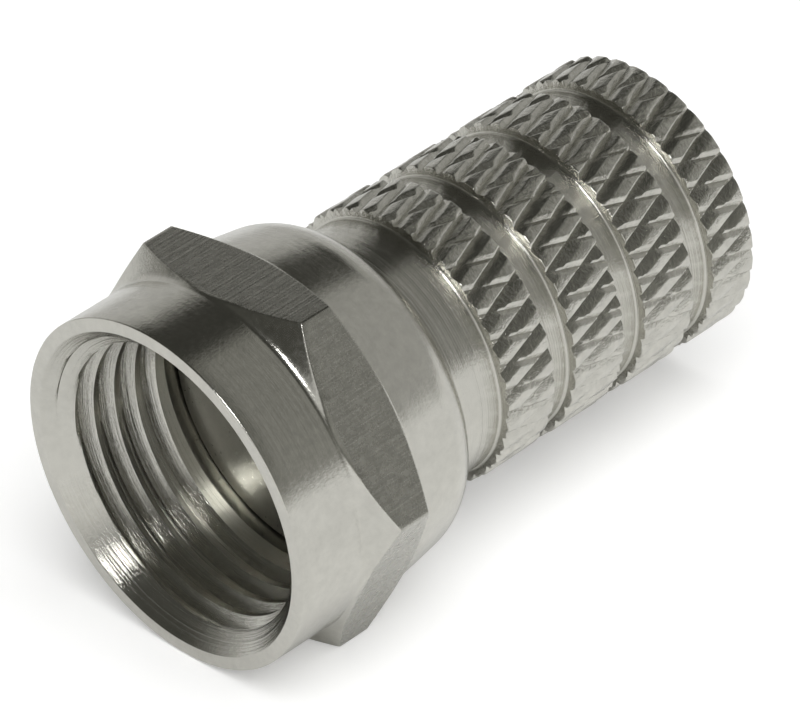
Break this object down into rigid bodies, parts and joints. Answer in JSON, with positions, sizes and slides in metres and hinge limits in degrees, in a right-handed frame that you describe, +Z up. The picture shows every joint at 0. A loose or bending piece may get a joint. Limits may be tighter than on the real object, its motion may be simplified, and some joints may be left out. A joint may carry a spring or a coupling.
{
  "type": "twist-on coaxial f connector",
  "caption": "Male F connector for coaxial cable, with a free-turning hexagon coupling nut and a banded knurled sleeve that screws onto the cable.",
  "frame": {"origin": "on the axis, at the centre of the sleeve's front face, the plane that meets the port", "axes": "+X along the axis towards the cable end; +Z up, square to the hexagon's top flat; the nut's mouth faces -X"},
  "size_m": [0.0193, 0.0128, 0.0112],
  "materials": {
    "nut_nickel": "bright nickel plate on turned brass",
    "sleeve_nickel": "nickel plate on turned and knurled brass"
  },
  "bodies": {
    "sleeve": {"knurled_sleeve": "sleeve_nickel"},
    "nut": {"coupling_nut": "nut_nickel"}
  },
  "joints": [
    {"name": "nut_spin", "type": "hinge", "parent": "sleeve", "child": "nut", "pos_m": [-0.001, 0, 0], "axis": [1, 0, 0], "continuous": true}
  ]
}
